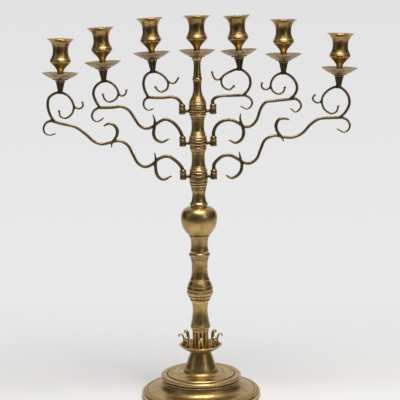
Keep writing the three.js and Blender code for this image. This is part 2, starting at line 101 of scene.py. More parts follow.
def reckon(tree, operation, first, second=0.0, third=0.0, clamp=False):
    node = addNode(tree, "ShaderNodeMath", operation=operation, use_clamp=clamp)
    for socket, value in zip(node.inputs, (first, second, third)):
        if hasattr(value, "links"):
            tree.links.new(value, socket)
        else:
            socket.default_value = value
    return node.outputs[0]


def attribute(tree, name):
    return addNode(tree, "ShaderNodeAttribute", attribute_name=name).outputs["Fac"]


def spread(tree, value, low, high, toLow=0.0, toHigh=1.0):
    node = setInputs(addNode(tree, "ShaderNodeMapRange"), From_Min=low, From_Max=high, To_Min=toLow,
                     To_Max=toHigh)
    tree.links.new(value, node.inputs["Value"])
    return node.outputs[0]


def addBump(tree, shader, height, strength, distance):
    bump = setInputs(addNode(tree, "ShaderNodeBump"), Strength=strength, Distance=distance)
    tree.links.new(height, bump.inputs["Height"])
    tree.links.new(bump.outputs["Normal"], shader.inputs["Normal"])


# a finish: bright and dull metal, the patina in patches, painted shade in grooves and hollows, and the
# polish
finishes = {
    "turnedBrass": {
        "bright": (0.56, 0.385, 0.158), "dull": (0.41, 0.265, 0.098), "patina": (0.25, 0.145, 0.052),
        "olive": (0.27, 0.215, 0.07), "paintedGrooveShade": (0.085, 0.048, 0.018), "worn": (0.75, 0.56, 0.28),
        "rough": (0.285, 0.38), "turningLines": 0.008, "wobble": 0.10, "pits": 0.004,
    },
    "holderBrass": {
        "bright": (0.54, 0.37, 0.15), "dull": (0.37, 0.235, 0.088), "patina": (0.23, 0.13, 0.048),
        "olive": (0.24, 0.18, 0.06), "paintedGrooveShade": (0.07, 0.036, 0.014), "worn": (0.7, 0.5, 0.24),
        "rough": (0.285, 0.37), "turningLines": 0.006, "wobble": 0.08, "pits": 0.004,
    },
    "panBrass": {
        "bright": (0.4, 0.29, 0.125), "dull": (0.28, 0.19, 0.078), "patina": (0.18, 0.108, 0.044),
        "olive": (0.24, 0.19, 0.065), "paintedGrooveShade": (0.06, 0.034, 0.014), "worn": (0.72, 0.56, 0.3),
        "rough": (0.285, 0.4), "turningLines": 0.006, "wobble": 0.08, "pits": 0.004,
    },
    "castBrass": {
        "bright": (0.29, 0.215, 0.105), "dull": (0.215, 0.157, 0.075), "patina": (0.16, 0.105, 0.054),
        "olive": (0.15, 0.135, 0.055), "paintedGrooveShade": (0.085, 0.055, 0.028), "worn": (0.45, 0.32, 0.16),
        "rough": (0.31, 0.44), "turningLines": 0.0, "wobble": 0.07, "pits": 0.005,
    },
}


def brassFinish(name, look):
    material, tree, shader = nodeTree(name)
    place = addNode(tree, "ShaderNodeTexCoord").outputs["Object"]
    broad = noiseNode(tree, place, 28, 4, 0.6)
    patches = noiseNode(tree, place, 75, 3, 0.55, 0.6)
    mottle = noiseNode(tree, place, 240, 2, 0.55)
    fine = noiseNode(tree, place, 1500, 3, 0.6)
    relief = attribute(tree, "relief")  # above zero on raised edges, below it in grooves
    hollow = reckon(tree, "MULTIPLY", relief, -1.0, clamp=True)
    raised = reckon(tree, "MULTIPLY", relief, 1.0, clamp=True)

    color = blend(tree, ramp(tree, broad, (0.36, 0.0), (0.66, 1.0)), look["bright"], look["dull"])
    color = blend(tree, ramp(tree, patches, (0.5, 0.0), (0.72, 0.75)), color, look["patina"])
    color = blend(tree, ramp(tree, mottle, (0.52, 0.0), (0.8, 0.45)), color, look["olive"])
    # painted shade: grooves and hollows darken towards a near-black brown, broken up by mottle, and are
    # made a little rougher
    grooveShadeMask = reckon(tree, "MULTIPLY_ADD", hollow, 1.6, reckon(tree, "MULTIPLY_ADD", mottle, 0.5, -0.32),
                   clamp=True)
    grooveShadeMask = reckon(tree, "MULTIPLY", grooveShadeMask, reckon(tree, "MULTIPLY", hollow, 6.0, clamp=True))
    color = blend(tree, grooveShadeMask, color, look["paintedGrooveShade"])
    wear = reckon(tree, "MULTIPLY", raised, ramp(tree, mottle, (0.35, 0.35), (0.7, 1.0)))
    color = blend(tree, wear, color, look["worn"])
    tree.links.new(color, shader.inputs["Base Color"])

    cloud = reckon(tree, "MULTIPLY_ADD", mottle, 0.25, reckon(tree, "MULTIPLY", patches, 0.75))
    rough = spread(tree, cloud, 0.32, 0.7, *look["rough"])
    tree.links.new(reckon(tree, "MULTIPLY_ADD", grooveShadeMask, 0.3, rough), shader.inputs["Roughness"])

    height = reckon(tree, "MULTIPLY", noiseNode(tree, place, 55, 2, 0.5), look["wobble"])
    height = reckon(tree, "MULTIPLY_ADD", mottle, look["wobble"] * 0.12, height)
    height = reckon(tree, "MULTIPLY_ADD", fine, look["pits"], height)
    if look["turningLines"]:
        lines = addNode(tree, "ShaderNodeTexNoise", noise_dimensions="1D")
        setInputs(lines, Scale=1.0, Detail=2.0, Roughness=0.6)
        tree.links.new(reckon(tree, "MULTIPLY", attribute(tree, "along"), 1700.0), lines.inputs["W"])
        height = reckon(tree, "MULTIPLY_ADD", lines.outputs["Fac"], look["turningLines"], height)
    addBump(tree, shader, height, 1.0, 0.0012)
    shader.inputs["Metallic"].default_value = 1.0
    return material


def ironFinish():
    material, tree, shader = nodeTree("darkIron")
    place = addNode(tree, "ShaderNodeTexCoord").outputs["Object"]
    rust = ramp(tree, noiseNode(tree, place, 320, 5, 0.65), (0.46, 0.0), (0.68, 0.85))
    color = blend(tree, rust, (0.075, 0.07, 0.066), (0.14, 0.06, 0.03))
    tree.links.new(color, shader.inputs["Base Color"])
    tree.links.new(reckon(tree, "MULTIPLY_ADD", rust, 0.35, 0.4), shader.inputs["Roughness"])
    addBump(tree, shader, noiseNode(tree, place, 900, 4, 0.7), 0.5, 0.0004)
    shader.inputs["Metallic"].default_value = 0.85
    return material


turnedBrass, holderBrass, panBrass, castBrass = [brassFinish(name, look) for name, look in finishes.items()]
darkIron = ironFinish()
print("finishes mixed")


# node groups: a turning, and leaves set in a ring

def newGroup(name, *inputs):
    group = bpy.data.node_groups.new(name, "GeometryNodeTree")
    group.interface.new_socket(name="Geometry", in_out="INPUT", socket_type="NodeSocketGeometry")
    group.interface.new_socket(name="Geometry", in_out="OUTPUT", socket_type="NodeSocketGeometry")
    for label, kind, value in inputs:
        socket = group.interface.new_socket(name=label, in_out="INPUT", socket_type=kind)
        if value is not None:
            socket.default_value = value
    return group, addNode(group, "NodeGroupInput"), addNode(group, "NodeGroupOutput")


def asMade(source, name):
    # the mesh an object's modifiers make; the object itself goes
    graph = bpy.context.evaluated_depsgraph_get()
    mesh = bpy.data.meshes.new_from_object(source.evaluated_get(graph), depsgraph=graph)
    bpy.data.objects.remove(source)
    mesh.name = name
    return mesh


def settle(source, group, name, **values):
    # runs a node group on an object and keeps what it makes as a plain mesh
    modifier = source.modifiers.new("make", "NODES")
    modifier.node_group = group
    for item in group.interface.items_tree:
        label = item.name.replace(" ", "_")
        if item.in_out == "INPUT" and label in values:
            modifier[item.identifier] = values[label]
    return asMade(source, name)


def namedValue(group, label):
    node = addNode(group, "GeometryNodeInputNamedAttribute", data_type="FLOAT")
    return setInputs(node, Name=label).outputs[0]


def turningGroup():
    # a row of outline points becomes a grid wrapped round the upright axis, with flutes if asked for
    group, entry, out = newGroup(
        "turning",
        ("Sides", "NodeSocketInt", 96), ("Flutes", "NodeSocketFloat", 8.0),
        ("Flute Depth", "NodeSocketFloat", 0.0), ("Material", "NodeSocketMaterial", None))
    link = group.links.new
    outline = entry.outputs["Geometry"]
    size = addNode(group, "GeometryNodeAttributeDomainSize")
    link(outline, size.inputs["Geometry"])
    across = reckon(group, "ADD", entry.outputs["Sides"], 1.0)
    grid = setInputs(addNode(group, "GeometryNodeMeshGrid"), Size_X=1.0, Size_Y=1.0)
    link(size.outputs["Point Count"], grid.inputs["Vertices X"])
    link(across, grid.inputs["Vertices Y"])
    index = addNode(group, "GeometryNodeInputIndex").outputs[0]
    row = reckon(group, "FLOOR", reckon(group, "DIVIDE", reckon(group, "ADD", index, 0.5), across))
    column = reckon(group, "SUBTRACT", index, reckon(group, "MULTIPLY", row, across))
    turn = reckon(group, "MULTIPLY", reckon(group, "DIVIDE", column, entry.outputs["Sides"]), 2 * math.pi)

    def fromOutline(dataType, value):
        sample = addNode(group, "GeometryNodeSampleIndex", data_type=dataType, domain="POINT")
        link(outline, sample.inputs["Geometry"])
        link(value, sample.inputs["Value"])
        link(row, sample.inputs["Index"])
        return sample.outputs[0]

    def stored(label):
        return fromOutline("FLOAT", namedValue(group, label))

    point = addNode(group, "ShaderNodeSeparateXYZ")
    link(fromOutline("FLOAT_VECTOR", addNode(group, "GeometryNodeInputPosition").outputs[0]),
         point.inputs[0])
    wave = reckon(group, "COSINE", reckon(group, "MULTIPLY", turn, entry.outputs["Flutes"]))
    wave = reckon(group, "POWER", reckon(group, "MULTIPLY_ADD", wave, 0.5, 0.5), 1.6)
    cut = reckon(group, "MULTIPLY", reckon(group, "MULTIPLY", wave, stored("flute")),
                 entry.outputs["Flute Depth"])
    radius = reckon(group, "SUBTRACT", point.outputs["X"], cut)
    place = addNode(group, "ShaderNodeCombineXYZ")
    link(reckon(group, "MULTIPLY", radius, reckon(group, "COSINE", turn)), place.inputs["X"])
    link(reckon(group, "MULTIPLY", radius, reckon(group, "SINE", turn)), place.inputs["Y"])
    link(point.outputs["Z"], place.inputs["Z"])

    geometry = grid.outputs["Mesh"]
    for label in ("relief", "along"):
        value = stored(label)
        if label == "relief":
            value = reckon(group, "SUBTRACT", value, reckon(group, "MULTIPLY", cut, 400.0))
        store = addNode(group, "GeometryNodeStoreNamedAttribute", data_type="FLOAT", domain="POINT")
        store.inputs["Name"].default_value = label
        link(geometry, store.inputs["Geometry"])
        link(value, store.inputs["Value"])
        geometry = store.outputs["Geometry"]
    move = addNode(group, "GeometryNodeSetPosition")
    link(geometry, move.inputs["Geometry"])
    link(place.outputs[0], move.inputs["Position"])
    weld = setInputs(addNode(group, "GeometryNodeMergeByDistance"), Distance=2e-6)
    link(move.outputs[0], weld.inputs["Geometry"])
    finishGroup(group, weld.outputs[0], entry, out)
    return group


def finishGroup(group, geometry, entry, out):
    whole = addNode(group, "GeometryNodeRealizeInstances")
    group.links.new(geometry, whole.inputs[0])
    coat = addNode(group, "GeometryNodeSetMaterial")
    group.links.new(whole.outputs[0], coat.inputs["Geometry"])
    group.links.new(entry.outputs["Material"], coat.inputs["Material"])
    group.links.new(coat.outputs[0], out.inputs[0])


def ringGroup():
    # copies of a leaf set round the axis, each facing outwards, with a slight seeded lean
    group, entry, out = newGroup(
        "leafRing",
        ("Count", "NodeSocketInt", 8), ("Lean", "NodeSocketFloat", 0.03), ("Seed", "NodeSocketInt", 4),
        ("Material", "NodeSocketMaterial", None))
    link = group.links.new
    points = addNode(group, "GeometryNodePoints")
    link(entry.outputs["Count"], points.inputs["Count"])
    index = addNode(group, "GeometryNodeInputIndex").outputs[0]
    turn = reckon(group, "MULTIPLY", reckon(group, "DIVIDE", index, entry.outputs["Count"]), 2 * math.pi)
    lean = addNode(group, "FunctionNodeRandomValue", data_type="FLOAT")
    link(reckon(group, "MULTIPLY", entry.outputs["Lean"], -1.0), lean.inputs[2])
    link(entry.outputs["Lean"], lean.inputs[3])
    link(entry.outputs["Seed"], lean.inputs["Seed"])
    facing = addNode(group, "ShaderNodeCombineXYZ")
    link(reckon(group, "ADD", turn, lean.outputs[1]), facing.inputs["Z"])
    toRotation = addNode(group, "FunctionNodeEulerToRotation")
    link(facing.outputs[0], toRotation.inputs[0])
    copies = addNode(group, "GeometryNodeInstanceOnPoints")
    link(points.outputs[0], copies.inputs["Points"])
    link(entry.outputs["Geometry"], copies.inputs["Instance"])
    link(toRotation.outputs[0], copies.inputs["Rotation"])
    finishGroup(group, copies.outputs[0], entry, out)
    return group


def rodGroup():
    # every line becomes a round rod of its own radius, with a bead on ends that carry one
    group, entry, out = newGroup(
        "scrollRods",
        ("Step", "NodeSocketFloat", 0.0012), ("Sides", "NodeSocketInt", 14),
        ("Flatness", "NodeSocketFloat", 0.92), ("Material", "NodeSocketMaterial", None))
    link = group.links.new
    lines = entry.outputs["Geometry"]
    curves = addNode(group, "GeometryNodeMeshToCurve")
    link(lines, curves.inputs["Mesh"])
    even = addNode(group, "GeometryNodeResampleCurve", mode="LENGTH")
    link(curves.outputs[0], even.inputs["Curve"])
    link(entry.outputs["Step"], even.inputs["Length"])
    circle = setInputs(addNode(group, "GeometryNodeCurvePrimitiveCircle"), Radius=1.0)
    link(entry.outputs["Sides"], circle.inputs["Resolution"])
    sweep = addNode(group, "GeometryNodeCurveToMesh")
    link(even.outputs[0], sweep.inputs["Curve"])
    link(circle.outputs[0], sweep.inputs["Profile Curve"])
    link(namedValue(group, "thick"), sweep.inputs["Scale"])
    sweep.inputs["Fill Caps"].default_value = True
    tips = addNode(group, "GeometryNodeSeparateGeometry", domain="POINT")
    link(lines, tips.inputs[0])
    link(reckon(group, "GREATER_THAN", namedValue(group, "bead"), 0.0001), tips.inputs["Selection"])
    ball = setInputs(addNode(group, "GeometryNodeMeshUVSphere"), Segments=16, Rings=10, Radius=1.0)
    copies = addNode(group, "GeometryNodeInstanceOnPoints")
    link(tips.outputs[0], copies.inputs["Points"])
    link(ball.outputs[0], copies.inputs["Instance"])
    link(namedValue(group, "bead"), copies.inputs["Scale"])
    joinUp = addNode(group, "GeometryNodeJoinGeometry")
    link(sweep.outputs[0], joinUp.inputs[0])
    link(copies.outputs[0], joinUp.inputs[0])
    squeeze = addNode(group, "GeometryNodeTransform")
    scale = addNode(group, "ShaderNodeCombineXYZ")
    scale.inputs["X"].default_value = 1.0
    scale.inputs["Z"].default_value = 1.0
    link(entry.outputs["Flatness"], scale.inputs["Y"])
    link(joinUp.outputs[0], squeeze.inputs["Geometry"])
    link(scale.outputs[0], squeeze.inputs["Scale"])
    finishGroup(group, squeeze.outputs[0], entry, out)
    return group


turning = turningGroup()
leafRing = ringGroup()
scrollRods = rodGroup()
print("node groups built")


# helpers for shapes

def smoothRun(points, spacing):
    # a smooth line through the points, ends included
    if len(points) < 3:
        return [tuple(p) for p in points]
    ends = [Vector(points[0]) * 2 - Vector(points[1])] + [Vector(p) for p in points]
    ends.append(Vector(points[-1]) * 2 - Vector(points[-2]))
    line = []
    for i in range(1, len(ends) - 2):
        a, b, c, d = ends[i - 1:i + 3]
        steps = max(2, min(9, math.ceil((c - b).length / spacing)))
        knots = [0.0]
        for first, second in ((a, b), (b, c), (c, d)):
            knots.append(knots[-1] + max((second - first).length, 1e-6) ** 0.5)
        for step in range(steps):
            t = knots[1] + (knots[2] - knots[1]) * step / steps
            line.append(tuple(bend(a, b, c, d, knots, t)))
    line.append(tuple(points[-1]))
    return line


def bend(a, b, c, d, knots, t):
    # centripetal interpolation, which keeps to the points without loops
    t0, t1, t2, t3 = knots
    mix = lambda p, q, low, high: p * ((high - t) / (high - low)) + q * ((t - low) / (high - low))
    first, second, third = mix(a, b, t0, t1), mix(b, c, t1, t2), mix(c, d, t2, t3)
    return mix(mix(first, second, t0, t2), mix(second, third, t1, t3), t1, t2)


def outlineObject(name, runs, spacing=0.6, fluted=None):
    # runs of [radius, height] points: each goes on from the end of the one before, smooth within
    # itself and with a crisp edge between the two
    points = []
    for run in runs:
        line = smoothRun(points[-1:] + run, spacing)
        points.extend(line[1:] if points else line)
    along = [0.0]
    for before, after in zip(points, points[1:]):
        along.append(along[-1] + (Vector(after) - Vector(before)).length)
    mesh = bpy.data.meshes.new(name)
    mesh.from_pydata([(r * mm, 0, h * mm) for r, h in points], [(i, i + 1) for i in range(len(points) - 1)],
                     [])
    relief = mesh.attributes.new("relief", "FLOAT", "POINT")
    path = mesh.attributes.new("along", "FLOAT", "POINT")
    flute = mesh.attributes.new("flute", "FLOAT", "POINT")
    for i, (r, h) in enumerate(points):
        relief.data[i].value = standsProud(points, along, i)
        path.data[i].value = along[i] * mm
        flute.data[i].value = fluted(r, h) if fluted else 0.0
    return linked(name, mesh)


def standsProud(points, along, i, reach=1.6):
    # how far a point stands out from the chord between its neighbours a little way off
    here = Vector(points[i])
    before = next((points[j] for j in range(i, -1, -1) if along[i] - along[j] >= reach), points[0])
    after = next((points[j] for j in range(i, len(points)) if along[j] - along[i] >= reach), points[-1])
    chord = Vector(after) - Vector(before)
    if chord.length < 1e-6:
        return 0.0
    normal = Vector((chord.y, -chord.x)).normalized()
    return (here - (Vector(before) + Vector(after)) / 2).dot(normal) * 0.9


def linked(name, mesh):
    piece = bpy.data.objects.new(name, mesh)
    bpy.context.scene.collection.objects.link(piece)
    return piece


def meshFrom(name, work):
    mesh = bpy.data.meshes.new(name)
    work.to_mesh(mesh)
    work.free()
    return mesh


def ringSkin(name, work, rings):
    # closes a stack of rings into a solid
    for low, high in zip(rings, rings[1:]):
        for a in range(len(low)):
            b = (a + 1) % len(low)
            work.faces.new((low[a], low[b], high[b], high[a]))
    work.faces.new(rings[0])
    work.faces.new(rings[-1])
    bmesh.ops.recalc_face_normals(work, faces=work.faces)
    return meshFrom(name, work)


def swell(wave, power):
    # a power under one pushes a sine or cosine outwards, so that a round section turns slab-like
    return math.copysign(abs(wave) ** power, wave)


def tidyMesh(mesh, sharpAngle=42):
    work = bmesh.new()
    work.from_mesh(mesh)
    bmesh.ops.remove_doubles(work, verts=work.verts, dist=2e-6)
    bmesh.ops.dissolve_degenerate(work, edges=work.edges, dist=1e-7)
    bmesh.ops.recalc_face_normals(work, faces=work.faces)
    work.to_mesh(mesh)
    work.free()
    mesh.polygons.foreach_set("use_smooth", [True] * len(mesh.polygons))
    mesh.set_sharp_from_angle(angle=math.radians(sharpAngle))
    mesh.update()


def place(name, mesh, node, slot, standsFor=True):
    piece = linked(name, mesh)
    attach(piece, riding[node])
    if standsFor:
        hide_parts(node)
    return piece


def turned(name, runs, material, sides=96, spacing=0.6, fluted=None, flutes=8.0, fluteDepth=0.0,
           where=None):
    source = outlineObject(name + "Outline", runs, spacing, fluted)
    mesh = settle(source, turning, name, Sides=sides, Flutes=flutes, Flute_Depth=fluteDepth * mm,
                  Material=material)
    if where is not None:
        mesh.transform(where)
    tidyMesh(mesh)
    return mesh


# the column, from the foot upwards: outlines as [radius, height] runs

bore = 4.4
foot = {
    "sides": 144,
    "under": [[bore, 35.5], [26, 35.5], [42, 34.2], [53, 32.4]],
    "underWall": [[56.2, 30.6], [56.6, 27], [56.6, 22], [58.2, 17.6], [62, 14.4], [70, 12.2],
                  [78.5, 10.2]],
    "standing": [[81.4, 8], [82.8, 4], [83.3, 0.6], [83.6, 0]],
    "rest": [[87.2, 0]],
    "rim": [[89.2, 1.6], [90.3, 4.2], [90.5, 6.6], [90, 8.8], [88.9, 10.4], [87.5, 11.1], [86.6, 10.7]],
    "rimBand": [[86, 11.2], [84.8, 11.9], [83.5, 12], [82.8, 11.5]],
    "dome": [[82.2, 11.8], [80, 12.7], [76, 13.6], [71, 14.5], [67, 15.6], [63.4, 17.6], [61, 20.4],
             [59.4, 24], [58.9, 26.4]],
    "bead": [[59.6, 26.8], [60.1, 27.8], [59.7, 28.8], [58.9, 29.3]],
    "groove": [[58.9, 30]],
    "lip": [[60, 30.5], [60.8, 31.6], [61, 33], [60.7, 34.3], [59.8, 35.3], [58.3, 35.9], [56.4, 36.1],
            [55.2, 35.8]],
    "lipStep": [[54.6, 36], [53.2, 36], [52.2, 35.5]],
    "hollow": [[51.4, 35.4], [50.4, 35.9]],
    "ridge": [[49.6, 36.8], [48.5, 37.1], [47.6, 36.9]],
    "disc": [[46.6, 36.6], [43, 36.9], [38.4, 37.5]],
    "crownBead": [[37.6, 38], [36.4, 38.1], [35.6, 37.8]],
    "crown": [[34.6, 37.6], [31, 37.9], [26, 38], [bore, 38]],
    "close": [[bore, 35.5]],
}

sections = {
    "neck_cone": [
        [[bore, 38], [29.6, 38.1]],
        [[28.2, 38.8], [26.4, 40.2], [25.1, 42.2], [24.5, 44.6], [23.7, 47.4], [22.2, 51], [19.6, 58.5],
         [17.4, 64.6], [16.1, 68.4], [15.8, 69.6]], [[15.2, 70.4], [12.6, 71]], [[bore, 71]]],
    "lower_baluster": [
        [[bore, 107], [12.8, 107]],
        [[14, 107.2], [14.9, 108.2], [15.2, 109.7], [14.9, 111.2], [14.3, 112.2]],
        [[14.5, 113.2], [14.2, 114.4], [13.9, 115]],
        [[13.6, 117.6], [12.8, 122], [12, 127.3], [11.4, 133], [11.3, 137.6], [11.7, 142], [12.4, 146],
         [13.3, 149.2], [13.5, 150]], [[bore, 150]]],
    "knop": [
        [[bore, 150], [13.4, 150]], [[14.3, 150.2], [15.1, 151], [15.4, 152.2], [15, 153.2]],
        [[15.6, 154], [16.7, 155.8], [17.7, 157.5], [17.8, 158.2]], [[17.6, 158.7], [18.3, 159.2]],
        [[19.2, 160.2], [19.8, 162], [19.9, 164], [19.7, 165.6], [19.2, 166.2]],
        [[19.6, 167], [19.8, 168.4], [19.4, 170.6], [18.8, 172.4], [18.1, 173.6]],
        [[18.2, 174.4], [17.6, 176.2], [16.5, 178.6], [15.3, 180.6], [14.5, 182]], [[bore, 182]]],
    "mid_stem": [
        [[bore, 182], [14.3, 182]], [[14.9, 182.3], [15, 183.2], [14.4, 184]],
        [[13.6, 186], [12.8, 190], [12.1, 195.6], [12, 201], [12.2, 207.5], [12.8, 212], [13.4, 214.4]],
        [[13.1, 214.9], [13.7, 215.4]], [[14.1, 216.2], [13.9, 217.5]], [[bore, 217.5]]],
    "ring_collar": [
        [[bore, 217.5], [13.9, 217.5]], [[14.1, 218.4], [13.9, 219]],
        [[15, 219.4], [16, 220.7], [16.2, 222.1], [15.8, 223.5], [14.8, 224.6], [14, 224.9]],
        [[14, 226]], [[bore, 226]]],
    "ball_stem": [
        [[bore, 226], [13.9, 226]],
        [[13.8, 228], [13.1, 231.6], [12.7, 236], [12.8, 241], [13.2, 245], [14, 248]],
        [[14.6, 248.6], [14.4, 249.6], [14, 250]], [[bore, 250]]],
    "ball": [
        [[bore, 250], [14.4, 250]], [[15.4, 250.2], [15.8, 251], [15.5, 251.8], [15, 252]],
        [[15.7, 252.2], [16, 252.7]],
        [[18.2, 254], [20.7, 257.5], [23.6, 262], [25.7, 267], [27, 272], [27.4, 277], [27.1, 281.6],
         [26, 286], [24, 289.6], [21, 292.3], [17.6, 294], [14.4, 294.8], [13, 295]], [[bore, 295]]],
    "upper_stem": [
        [[bore, 295], [12.6, 295]], [[12.1, 296.2], [12.4, 296.8]],
        [[13.2, 297.2], [13.7, 298.6], [13.3, 300.2], [12.4, 301.2]],
        [[11.7, 302.2], [10.9, 304.8], [10.2, 308.5], [9.9, 312.5], [10.1, 316.5], [10.7, 319.6]],
        [[10.4, 320.2], [11, 320.6]], [[11.3, 321.4], [10.9, 322.2]],
        [[11.5, 322.6], [11.8, 323.6], [11.4, 324.6]], [[11.2, 325.1], [11.8, 325.5]], [[11.8, 326]],
        [[bore, 326]]],
    "hub_low": [
        [[bore, 326], [11.8, 326]], [[12.4, 326.4], [12.8, 327.6], [12.6, 328.6]],
        [[12.4, 329.2], [13, 329.7]], [[13.6, 330.6], [13.7, 332.2], [13.3, 333.2]],
        [[13.1, 333.8], [13.7, 334.3]], [[13.9, 336], [13.9, 341.2], [13.7, 341.6]],
        [[13.4, 342], [13.7, 342.4]], [[13.8, 344], [13.6, 346.6], [13, 347.4]],
        [[12.5, 347.9], [12.9, 348.6]], [[13.4, 349.4], [13.5, 350.5], [13.1, 351.5]],
        [[12.6, 351.9], [12, 352]], [[bore, 352]]],
    "spacer_low": [
        [[bore, 352], [11.9, 352]], [[11.8, 352.8], [11.2, 353.4]],
        [[11.7, 353.8], [11.7, 354.5], [11.1, 355]], [[11.2, 355.7], [11.1, 356.3], [10.6, 356.7]],
        [[10.4, 358], [10.1, 361], [9.8, 366], [9.8, 371], [10.1, 375.4], [10.6, 378.4]],
        [[10.4, 378.9], [11, 379.3]], [[11.6, 380.2], [11.7, 381.4], [11.5, 382]], [[bore, 382]]],
    "hub_mid": [
        [[bore, 382], [12, 382]], [[12.6, 382.3], [12.8, 383.2], [12.4, 384.2]],
        [[12, 384.7], [12.5, 385.2]], [[12.8, 386.2], [12.6, 387.3]], [[12.5, 387.8], [13.2, 388.4]],
        [[13.8, 389.6], [13.8, 393.2], [13.6, 393.6]], [[13.3, 394], [13.6, 394.4]],
        [[13.8, 395.2], [13.6, 397.6], [13, 398.2]], [[12.5, 398.6], [12.9, 399.1]],
        [[13.4, 399.9], [13.4, 400.9], [13, 401.6]], [[12.4, 402]], [[bore, 402]]],
    "spacer_high": [
        [[bore, 402], [11.9, 402]], [[11.6, 403], [11, 403.6]],
        [[11.5, 404], [11.4, 404.9], [10.8, 405.4]], [[11.1, 406], [10.9, 406.7], [10.4, 407.1]],
        [[10.6, 407.7], [10.4, 408.3], [10, 408.6]],
        [[9.6, 411.4], [9.3, 415.4], [9.4, 420], [9.8, 424.6], [10.2, 427]],
        [[10, 427.5], [10.6, 427.9]], [[11, 428.8], [10.9, 429.8], [10.6, 430.3]],
        [[11.5, 430.8], [11.8, 432]], [[bore, 432]]],
    "hub_top": [
        [[bore, 432], [12.1, 432]], [[12.7, 432.4], [12.9, 433.6], [12.5, 434.5]],
        [[12.1, 434.9], [12.6, 435.4]], [[12.9, 436.4], [12.7, 437.5]], [[12.5, 438], [13.1, 438.6]],
        [[13.5, 439.8], [13.4, 443], [13, 443.6]], [[12.7, 444], [13.1, 444.5]],
        [[13.4, 445.4], [13.1, 446.9], [12.6, 447.3]], [[12.3, 447.7], [12.9, 448.2]],
        [[13.5, 449], [13.5, 450], [13, 450.9]], [[12.5, 451.2], [12.6, 452]], [[bore, 452]]],
    "top_stem": [
        [[0, 460], [bore, 460]], [[bore, 452]], [[12.6, 452]], [[12.5, 453.2], [12, 454]],
        [[11.5, 455.2], [9.6, 458.8], [7.8, 462.6], [6.5, 467], [6, 471], [5.9, 477], [6.2, 481.4],
         [6.7, 484.2]], [[7.2, 484.8], [7.5, 486], [7.2, 487.2], [6.7, 487.8]],
        [[6.1, 491], [5.6, 497], [5.2, 504], [5.4, 509.6], [6, 513.6]],
        [[7, 514.6], [7.9, 516], [8.2, 517.2], [7.8, 518]], [[1.9, 518]], [[1.9, 532]], [[0, 532]]],
}

footMesh = turned("footShell", [run for key, run in foot.items() if key != "sides"], turnedBrass,
                  foot["sides"], 1.0)
place("footShell", footMesh, "base_foot", "column_brass")
for node, runs in sections.items():
    mesh = turned(node + "Turning", runs, turnedBrass)
    place(node + "Turning", mesh, node, "column_brass")
print("column turned")


# coronet: a scalloped dish with curling leaves, and the fluted collar inside it

coronet = {
    "leaves": 8, "scallop": 1.5, "lean": 0.05, "seed": 11,
    "dish": [
        [[bore, 71], [12.6, 71]],
        [[15.4, 71.3], [20, 73], [25, 75.4], [29.4, 78], [32.1, 79.7], [33, 80.9], [32.8, 81.9],
         [31.9, 82.3]], [[30.2, 81.7], [25, 79.5], [20, 77.6], [15.6, 76.2]], [[bore, 76]], [[bore, 71]]],
    "spine": [[28, 78.6], [27.1, 81.5], [26.4, 85], [26.1, 89], [26.5, 93], [27.9, 96.2], [30, 97.6],
              [31.9, 97], [32.8, 95.2], [32.3, 93.7]],
    "halfWidth": [3.6, 3.6, 3.6, 3.5, 3.5, 3.3, 3.1, 2.9, 2.6, 2.2],
    "halfThick": [1.5, 1.4, 1.4, 1.3, 1.3, 1.25, 1.2, 1.15, 1.1, 0.9],
    "corners": 20,
}


def leafMesh(look):
    # one leaf: rounded slabs set along its spine, dished down the middle
    spine = smoothRun(look["spine"], 0.8)
    widths = smoothRun([[i, w] for i, w in enumerate(look["halfWidth"])], 0.2)
    thicks = smoothRun([[i, t] for i, t in enumerate(look["halfThick"])], 0.2)
    work = bmesh.new()
    rings = []
    for i, here in enumerate(spine):
        share = i / (len(spine) - 1)
        halfWidth = widths[round(share * (len(widths) - 1))][1]
        halfThick = thicks[round(share * (len(thicks) - 1))][1]
        forward = Vector(spine[min(i + 1, len(spine) - 1)]) - Vector(spine[max(i - 1, 0)])
        outwards = Vector((forward.y, -forward.x)).normalized()
        ring = []
        for corner in range(look["corners"]):
            turn = 2 * math.pi * corner / look["corners"]
            side = swell(math.cos(turn), 0.55) * halfWidth
            depth = swell(math.sin(turn), 0.7) * halfThick
            # edges curl outwards, with a hollow down the middle
            dish = 0.75 * (side / halfWidth) ** 2 - 0.45
            offset = outwards * (depth + dish * halfThick)
            ring.append(work.verts.new(((here[0] + offset.x) * mm, side * mm, (here[1] + offset.y) * mm)))
        rings.append(ring)
    return ringSkin("leaf", work, rings)


def joinMeshes(name, meshes, material):
    work = bmesh.new()
    for mesh in meshes:
        work.from_mesh(mesh)
    whole = meshFrom(name, work)
    whole.materials.append(material)
    for mesh in meshes:
        bpy.data.meshes.remove(mesh)
    return whole


def fused(name, mesh, material, grain, ease=3):
    # voxels melt the pieces of a casting into one skin, and a little smoothing fills the joins
    source = linked(name + "Parts", mesh)
    melt = source.modifiers.new("melt", "REMESH")
    melt.mode = "VOXEL"
    melt.voxel_size = grain * mm
    soften = source.modifiers.new("soften", "SMOOTH")
    soften.factor = 0.5
    soften.iterations = ease
    whole = asMade(source, name)
    whole.materials.clear()
    whole.materials.append(material)
    markRelief(whole)
    whole.polygons.foreach_set("use_smooth", [True] * len(whole.polygons))
    return whole


